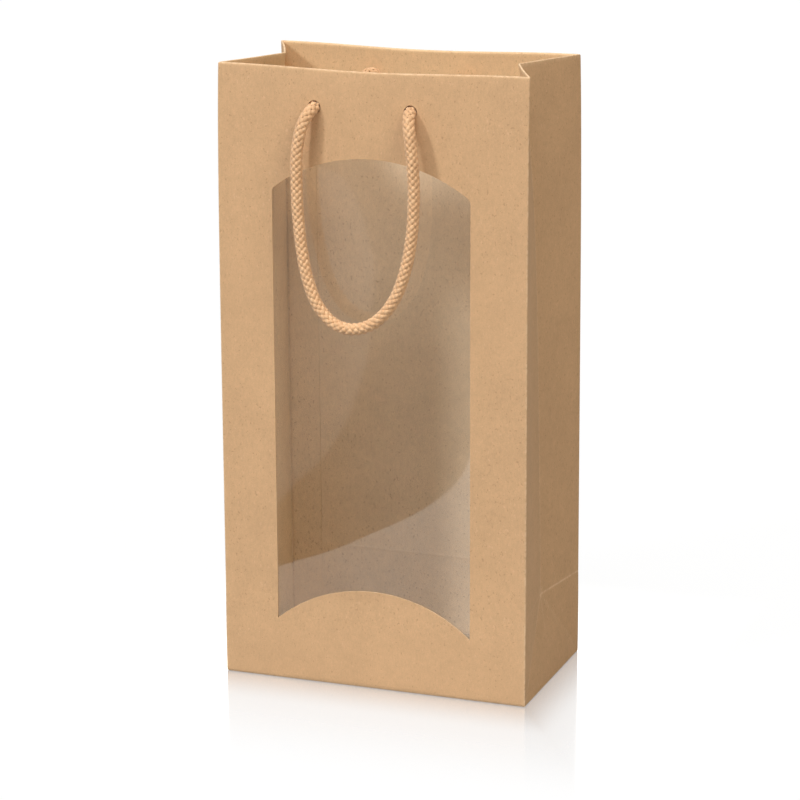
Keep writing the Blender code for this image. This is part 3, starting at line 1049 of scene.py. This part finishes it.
def block_loop(cells):
    """The points round a block of (first column, last column, first row, last row), in order."""
    first, last, low, high = cells
    loop = [(low, column) for column in range(first, last)]
    loop += [(row, last) for row in range(low, high)]
    loop += [(high, column) for column in range(last, first, -1)]
    return loop + [(row, first) for row in range(high, low, -1)]


def hole_ring(corners, place, side, inset, share):
    """The corners of a hole's square, drawn this share of the way in to the hole's circle."""
    ring = []
    for corner in corners:
        reach = Vector((corner.x - place, corner.z - hole_height))
        spot = reach.lerp(reach.normalized() * hole_radius, share)
        ring.append(wall_point(place + spot.x, hole_height + spot.y,
                               inset - ring_pucker * share ** 3, side))
    return ring


print(f"{ring_steps} rings round each hole, which pucker it {ring_pucker / mm:.1f} mm")


# %% Two faces joined into one sheet
def two_faced_sheet(skins, closed=False, window=None, holes=()):
    """Vertices, faces and marks of a sheet: 0 on its outer face, 1 on its inner, 2 at cut edges.
    A hole is its block, its place across, its side and the insets of the two faces there."""
    row_count, column_count = len(skins[0]), len(skins[0][0])
    vertices = [point for rows in skins for row in rows for point in row]
    faces, marks = [], []
    open_blocks = [hole[0] for hole in holes] + ([window] if window else [])

    def index_of(skin, row, column):
        return (skin * row_count + row) * column_count + column % column_count

    def loops_of(cells):
        return [[index_of(skin, row, column) for row, column in block_loop(cells)] for skin in (0, 1)]

    def join_loops(first, second, mark):
        for step in range(len(first)):
            after = (step + 1) % len(first)
            faces.append((first[step], first[after], second[after], second[step]))
            marks.append(mark)

    for skin in (0, 1):
        for row in range(row_count - 1):
            for column in range(column_count if closed else column_count - 1):
                if not any(in_block(column, row, cells) for cells in open_blocks):
                    faces.append(tuple(index_of(skin, r, c) for r, c in (
                        (row, column), (row, column + 1), (row + 1, column + 1), (row + 1, column))))
                    marks.append(skin)
    rims = [loops_of(window)] if window else []
    if closed:
        rims += [[[index_of(skin, row, column) for column in range(column_count)] for skin in (0, 1)]
                 for row in (0, row_count - 1)]
    else:
        rims.append(loops_of((0, column_count - 1, 0, row_count - 1)))
    for cells, place, side, insets in holes:
        rim = []
        for skin, loop in enumerate(loops_of(cells)):
            corners = [vertices[index] for index in loop]
            for step in range(1, ring_steps + 1):
                share = (step / ring_steps) ** ring_crowding
                ring = range(len(vertices), len(vertices) + len(loop))
                vertices += hole_ring(corners, place, side, insets[skin], share)
                join_loops(loop, ring, skin)
                loop = ring
            rim.append(loop)
        rims.append(rim)
    for outer_rim, inner_rim in rims:
        join_loops(outer_rim, inner_rim, 2)
    return vertices, faces, marks


# %% Cut the window and the rope holes, and join the sleeve's two faces
back_start = len(panel_columns) + 2 * quarter_length - 1


def row_of(height):
    return foot_steps + nearest(wall_heights, height)


def hem_row_of(height):
    return hem_start + nearest(hem_heights, height)


def column_of(across, side):
    column = nearest(panel_columns, across)
    return column if side < 0 else back_start + len(panel_columns) - 1 - column


def block(columns, rows):
    return (min(columns), max(columns), min(rows), max(rows))


window_block = block([column_of(across, -1) for across in (-window_half, window_half)],
                     [row_of(window_foot), row_of(corner_low)])
sleeve_holes = []
for side in (-1, 1):
    for place in hole_places:
        columns = [column_of(place - hole_block, side), column_of(place + hole_block, side)]
        for find, insets in ((row_of, (0.0, paper)), (hem_row_of, (hem_face, hem_back))):
            rows = [find(block_low), find(block_high)]
            sleeve_holes.append((block(columns, rows), place, side, insets))
sheet_vertices, sheet_faces, sheet_marks = two_faced_sheet(
    (outer_rows, inner_rows), closed=True, window=window_block, holes=sleeve_holes)
print(len(sheet_vertices), "points and", len(sheet_faces), "faces in the sleeve")

# %% Mark the outer face's turned-in part as hem, from the top of the fold down
hem_mark = 3
hem_first = (hem_start - mouth_steps // 2 - 1) * len(outer_rows[0])
ring_first = 2 * len(outer_rows) * len(outer_rows[0])


def on_hem(index):
    """Whether a point of the outer face lies past the fold, in the grid or in a hole's rings."""
    if index < ring_first:
        return index >= hem_first
    point = sheet_vertices[index]
    return half_depth(point.z) - abs(point.y + mouth_bow(point.x, point.z)) > hem_back / 2


sheet_marks = [hem_mark if mark == 0 and all(map(on_hem, face)) else mark
               for mark, face in zip(sheet_marks, sheet_faces)]
print(sheet_marks.count(hem_mark), "faces on the hem")

# %% [markdown]
# Handling rubs the folds pale: most of all the four upright edges, the mouth's edge and the
# middle point of the bottom fold, less the foot, and least the creases of the gussets. On the
# upright edges and the mouth's edge the pale line is also a painted highlight, where a
# rounded fold catches the light.
# That could be painted by hand. It is worked out at each point of the mesh from how near
# the folds are, so it needs no picture and fits when a size changes.

# %% Where the folds are rubbed, and where a highlight is painted
edge_flat, edge_wear_width = 0.37 * mm, 0.45 * mm
mouth_wear_width = 0.5 * mm
foot_wear, foot_wear_width = 0.6, 0.6 * mm
fold_wears, fold_wear_width = {-1: 0.25, 1: 0.9}, 0.55 * mm
tip_wear_width = 2.2 * mm
crease_wear_width = 0.7 * mm
upper_crease_wear, lower_crease_wear = 0.4, 0.35
lower_crease_heights = (18 * mm, 40 * mm)
diagonal_wears = {-1: 0.5, 1: 0.35}
gusset_zone, gusset_margin = 20 * mm, 0.8 * mm


def fold_wear(point):
    """1 on a fold line and 0 away from it: rubbed paper, and on the upright edges and the mouth's edge also
    a painted highlight.
    """
    depth = half_depth(min(point.z, bag_height))
    side = -1 if point.y < 0 else 1
    side_gap = math.hypot(half_width - abs(point.x), depth - abs(point.y))
    edge = bag_height - mouth_dip(point.x, bag_height) - point.z
    above_fold = point.z - fold_height
    # The upright edges and the mouth's edge: rubbing and a painted highlight
    wears = [nearness(max(side_gap - edge_flat, 0.0), edge_wear_width),
             nearness(edge, mouth_wear_width), foot_wear * nearness(point.z, foot_wear_width)]
    if abs(point.y) < depth - gusset_margin and abs(point.x) > panel_end - gusset_zone:
        wears.append(fold_wears[side] * nearness(above_fold, fold_wear_width))
        wears.append(nearness(math.hypot(point.y, above_fold), tip_wear_width))
        middle = nearness(point.y, crease_wear_width)
        if above_fold > 0:
            wears.append(upper_crease_wear * middle)
        else:
            diagonal = half_foot_depth * (1 - point.z / fold_height)
            wears.append(lower_crease_wear * middle * smooth_step(point.z, *lower_crease_heights))
            wears.append(diagonal_wears[side] * nearness(abs(point.y) - diagonal, crease_wear_width))
    return max(wears)


sleeve = make_piece("folded_paper_sleeve", sheet_vertices, sheet_faces,
                    [outside_paper, inside_paper, cut_paper, hem_paper_painted_lighter], sheet_marks)
# Where the folds are rubbed pale, with a painted highlight along the upright edges and the mouth's edge
give_values(sleeve, "wear", [fold_wear(point) for point in sheet_vertices])
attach(sleeve, "root")
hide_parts("front_panel", "back_panel", "left_gusset_foot", "right_gusset_foot",
            "left_gusset_front_half", "left_gusset_rear_half",
            "right_gusset_front_half", "right_gusset_rear_half")
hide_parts("front_hem", "back_hem", "left_gusset_front_hem", "left_gusset_rear_hem",
            "right_gusset_front_hem", "right_gusset_rear_hem")

# %% [markdown]
# ## Window film
# A clear film is glued behind the window. It is stretched flat between its glued edges and
# hardly slack, so it mirrors the room in clean shapes. Clear film has almost no colour of
# its own: most of the light goes through, and the rest is a mirror that grows towards a
# grazing view, with a little haze.

# %% Finish of the film
film_mirror = 0.033
film_haze = (0.002, 0.008)
grazing_mirror, grazing_power = 0.9, 5


def film_finish():
    film = new_finish("clear_window_film")
    place = film.place()
    haze = film.speckle(place, 30.0, detail=3.0).above(0.2, 0.8) * film_haze[1] + film_haze[0]
    ripple = film.bump(film.speckle(place, 30.0, detail=0.0), 0.05 * mm, 0.03)
    facing = film.node("ShaderNodeLayerWeight", {}, {"Blend": 0.5, "Normal": ripple}, output="Facing")
    gloss = facing.maths("POWER", grazing_power) * grazing_mirror + haze + film_mirror
    clear = film.node("ShaderNodeBsdfTransparent", {}, {"Color": (0.97, 0.975, 0.97, 1)})
    mirror = film.node("ShaderNodeBsdfPrincipled", {}, {
        "Base Color": (0.95, 0.96, 0.96, 1), "Metallic": 1.0, "Roughness": 0.02, "Normal": ripple})
    return film.surface(film.mix_shader(gloss, clear, mirror))


film_material = film_finish()
print("film finish:", len(film_material.node_tree.nodes), "nodes")

# %% Film behind the window
film_thickness = 0.2 * mm
film_overlap = 8 * mm
film_half = window_half + film_overlap
film_foot = window_foot - film_overlap
film_top = window_shoulder + window_top_rise + film_overlap
film_columns, film_rows = 44, 96
film_slack = 0.05 * mm
slack_share = 0.6
slack_wave_width, slack_wave_height, slack_wave_seed = 60 * mm, 120 * mm, 9.1
slack_from_side, slack_from_end = 22 * mm, 25 * mm


def film_slackness(across, height):
    """How far the film hangs in behind the window, none where it is glued."""
    side = smooth_step(window_half - abs(across), 0.0, slack_from_side)
    foot = smooth_step(height - window_foot - arch(across, window_foot_rise), 0.0, slack_from_end)
    top = smooth_step(window_top(across) - height, 0.0, slack_from_end)
    wave = noise.noise(Vector((across / slack_wave_width, height / slack_wave_height, slack_wave_seed)))
    return side * foot * top * film_slack * (slack_share + wave)


def film_row(height, skin):
    row = []
    for across in stretches(-film_half, (film_half, film_columns)):
        inset = second_layer + film_slackness(across, height) + skin * film_thickness
        row.append(wall_point(across, height, inset, -1))
    return row


def sheet_piece(name, skins, material, holes=()):
    """A sheet with the same finish on both of its faces."""
    vertices, faces = two_faced_sheet(skins, holes=holes)[:2]
    return make_piece(name, vertices, faces, [material])


film_heights = stretches(film_foot, (film_top, film_rows))
film_skins = [[film_row(height, skin) for height in film_heights] for skin in (0, 1)]
window_film = sheet_piece("slack_window_film", film_skins, film_material)
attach(window_film, "root")
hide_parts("window_film")

# %% [markdown]
# ## Seam flap, card strips and base
# The side seam's glue flap lies on the inside of the back panel and follows its small
# waves, and the card strips follow the bow of the mouth, so both are made again from the
# same wall points. The flaps of the base and the card laid on them are flat on the real
# bag as well. They keep their solids and get their own finishes.

# %% Glue flap of the side seam
flap_left = -half_width + 1.9 * mm
flap_right = flap_left + 18 * mm
flap_foot, flap_top = 3.4 * mm, 309.7 * mm
flap_columns, flap_rows = 8, 90


def wall_skins(columns, heights, insets, side):
    """The two faces of a sheet that lies along a wall, as grids of points."""
    return [[[wall_point(across, height, inset, side) for across in columns]
             for height in heights] for inset in insets]


flap_skins = wall_skins(stretches(flap_left, (flap_right, flap_columns)),
                        stretches(flap_foot, (flap_top, flap_rows)),
                        (second_layer, second_layer + paper), 1)
seam_flap = sheet_piece("glued_seam_flap", flap_skins, inside_paper)
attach(seam_flap, "root")
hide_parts("side_seam_glue_flap")

# %% [markdown]
# The strips in the mouth and the card in the foot are plain board of recycled pulp, brown
# grey and matt, with darker scraps. A photograph of board could cover them. Noises at the
# board's real size do it without one, and show no seams at the edges.

# %% Finish of the recycled card
card_dark = (0.36, 0.28, 0.205, 1)
card_light = (0.52, 0.43, 0.335, 1)
card_scrap = (0.17, 0.13, 0.10, 1)


def card_finish():
    board = new_finish("recycled_card")
    place = board.place()
    pulp = board.speckle(place, 700.0, detail=4.0, roughness=0.65)
    clouds = board.speckle(place, 60.0, detail=2.0)
    body = board.mix(pulp * 0.6 + clouds * 0.4, card_dark, card_light)
    scraps = board.speckle(place, 420.0, detail=1.0).above(0.66, 0.74)
    body = board.mix(scraps * 0.5, body, card_scrap)
    relief = board.bump(pulp, 0.12 * mm, 0.4)
    return board.principled({"Base Color": body, "Roughness": pulp * 0.15 + 0.78, "Normal": relief})


card_material = card_finish()
print("card finish:", len(card_material.node_tree.nodes), "nodes")

# %% Card strips in the mouth's hem
strip_foot = bag_height - 38 * mm
strip_top = bag_height - paper - layer_gap
strip_end = half_width - 3.2 * mm
strip_columns = [-strip_end] + panel_columns + [strip_end]
strip_heights = stretches(strip_foot, (block_low, 3), (block_high, block_cells), (strip_top, 6))
strip_insets = (second_layer, second_layer + card)
strip_rows = [nearest(strip_heights, height) for height in (block_low, block_high)]


def card_strip(side):
    holes = []
    for place in hole_places:
        columns = [nearest(strip_columns, place - hole_block), nearest(strip_columns, place + hole_block)]
        holes.append((block(columns, strip_rows), place, side, strip_insets))
    skins = wall_skins(strip_columns, strip_heights, strip_insets, side)
    strip = sheet_piece(f"{side_names[side]}_bowed_card_strip", skins, card_material, holes)
    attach(strip, "root")
    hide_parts("front_mouth_board" if side < 0 else "back_mouth_board")


for side in (-1, 1):
    card_strip(side)

# %% Finishes of the base
node_finishes = {"base_board": card_material, "base_front_flap": outside_paper,
                 "base_rear_flap": outside_paper, "base_left_tuck_flap": inside_paper,
                 "base_right_tuck_flap": inside_paper}
for node, material in node_finishes.items():
    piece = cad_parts[node]
    piece.data.materials.clear()
    piece.data.materials.append(material)
print("new finishes on", sorted(node_finishes))

# %% [markdown]
# ## Floor, background and light
# The bag stands on a white table in a white room. What the camera sees is made white by a
# plain emission, while the light on the bag stays moderate. The table also mirrors the bag
# faintly close to its foot. The film mirrors the table in its turn, and there the table
# glows in two bright parts with round edges, seen only in mirrors: a painted reflection
# that stands for lamps and screens in a studio.

# %% What the film mirrors in the table
floor_white = 1.09
# Two round edges on the table, as (middle, radius), that the film mirrors as arcs
near_edge = ((-0.508, -0.416, 0.0), 0.412)
far_edge = ((-2.120, -0.156, 0.0), 1.939)
near_part_end = (-0.585, -0.575)
far_part_level = 0.35
edge_blur = 1 * mm


def outside_circle(floor, place, edge):
    """1 outside a circle on the table and 0 inside it."""
    middle, radius = edge
    reach = floor.node("ShaderNodeVectorMath", {"operation": "DISTANCE"}, {0: place, 1: middle},
                       output="Value")
    return reach.above(radius - edge_blur, radius + edge_blur)


def mirrored_parts(floor, place, along):
    """A bright near part with a round edge, then a dark part, then a dim part on the left,
    also with a round edge."""
    near_part = outside_circle(floor, place, near_edge) * along.above(*near_part_end)
    far_part = 1 - outside_circle(floor, place, far_edge)
    return near_part.maths("MAXIMUM", far_part * far_part_level)


print(f"round edges of {near_edge[1]:.2f} and {far_edge[1]:.2f} m on the table")

# %% White table with a faint shadow and reflection
floor_radius = 14.0
floor_sides = 96
floor_drop = 0.05 * mm
floor_lift = 0.88
near_gloss, near_reach = 0.45, (-10 * mm, 40 * mm)
far_gloss, far_reach = 0.20, (0.0, 130 * mm)
side_fade = 1.5


def floor_finish():
    floor = new_finish("white_table")
    seen = floor.ray("Camera")
    glossy = floor.ray("Glossy")
    place = floor.place()
    across = floor.node("ShaderNodeSeparateXYZ", {}, {0: place}, output="X")
    along = floor.node("ShaderNodeSeparateXYZ", {}, {0: place}, output="Y")
    matt = floor.node("ShaderNodeBsdfDiffuse", {}, {"Color": (0.35, 0.35, 0.35, 1)})
    dark = floor.node("ShaderNodeEmission", {}, {"Color": (0, 0, 0, 1), "Strength": 0.0})
    white = floor.node("ShaderNodeEmission", {}, {"Color": (1, 1, 1, 1), "Strength": floor_white})
    # Painted reflection: in mirrors only, the table glows in these parts and is dark between them
    mirrored = floor.mix_shader(mirrored_parts(floor, place, along), dark, white)
    unseen = floor.mix_shader(glossy, matt, mirrored)
    lifted = floor.mix_shader(seen * floor_lift, unseen, white)
    gloss = floor.node("ShaderNodeBsdfGlossy", {}, {"Color": (1, 1, 1, 1), "Roughness": 0.08})
    beside = (across.maths("ABSOLUTE") - half_width) * side_fade
    before = along.maths("ABSOLUTE") - half_foot_depth
    away = beside.maths("MAXIMUM", before)
    near = (1 - away.above(*near_reach)) * near_gloss
    far = (1 - away.above(*far_reach)) * far_gloss
    return floor.surface(floor.mix_shader(seen * (near + far), lifted, gloss))


floor_angles = [2 * math.pi * step / floor_sides for step in range(floor_sides)]
floor_points = [(floor_radius * math.cos(angle), floor_radius * math.sin(angle), -floor_drop)
                for angle in floor_angles]
floor_piece = make_piece("table_top", floor_points, [tuple(range(floor_sides))], [floor_finish()])

# %% [markdown]
# Five distant lamps stand for soft boxes. The key lamp at the upper left gives the ropes
# their shadows, the top lamp lights the panels evenly, a warm one on the right keeps the
# gusset's colour, a weak one fills from the front, and the back lamp lights the inside.
# Area lamps close by would light the mouth of a tall bag more than its foot, and distant
# lamps light both alike.

# %% White room
world = bpy.data.worlds.new("white_room")
bpy.context.scene.world = world
room = Finish(world)
camera_ray, glossy_ray, clear_ray = (room.ray(kind) for kind in ("Camera", "Glossy", "Transmission"))
seen = camera_ray.maths("MAXIMUM", glossy_ray.maths("MAXIMUM", clear_ray))
ambient = room.node("ShaderNodeBackground", {}, {"Color": (1.0, 0.88, 0.72, 1), "Strength": 0.18})
backdrop = room.node("ShaderNodeBackground", {}, {"Color": (1, 1, 1, 1), "Strength": 1.0})
room.node("ShaderNodeOutputWorld", {}, {"Surface": room.mix_shader(seen, ambient, backdrop)})
print("room:", len(world.node_tree.nodes), "nodes")


# %% Lamps
def far_lamp(name, azimuth, elevation, softness, colour, strength):
    """A distant lamp in a direction round the bag. Softness is its width in degrees."""
    light = bpy.data.lights.new(name, "SUN")
    light.angle = math.radians(softness)
    light.color = colour
    light.energy = strength
    lamp = put_in_scene(name, light)
    lamp.matrix_world = way_to(azimuth, elevation).to_track_quat("Z", "Y").to_matrix().to_4x4()


far_lamp("key_lamp", -36, 36, 10, (1.0, 1.0, 1.0), 1.40)
far_lamp("top_lamp", -8, 66, 24, (1.0, 1.0, 1.0), 1.60)
far_lamp("front_lamp", 22, 22, 40, (1.0, 0.99, 0.97), 0.15)
far_lamp("side_lamp", 52, 35, 25, (1.0, 0.88, 0.71), 0.92)
far_lamp("back_lamp", 200, 35, 40, (1.0, 0.97, 0.92), 0.80)
bpy.context.scene.view_settings.view_transform = "Standard"
print("lamps:", [lamp.name for lamp in bpy.data.lights])
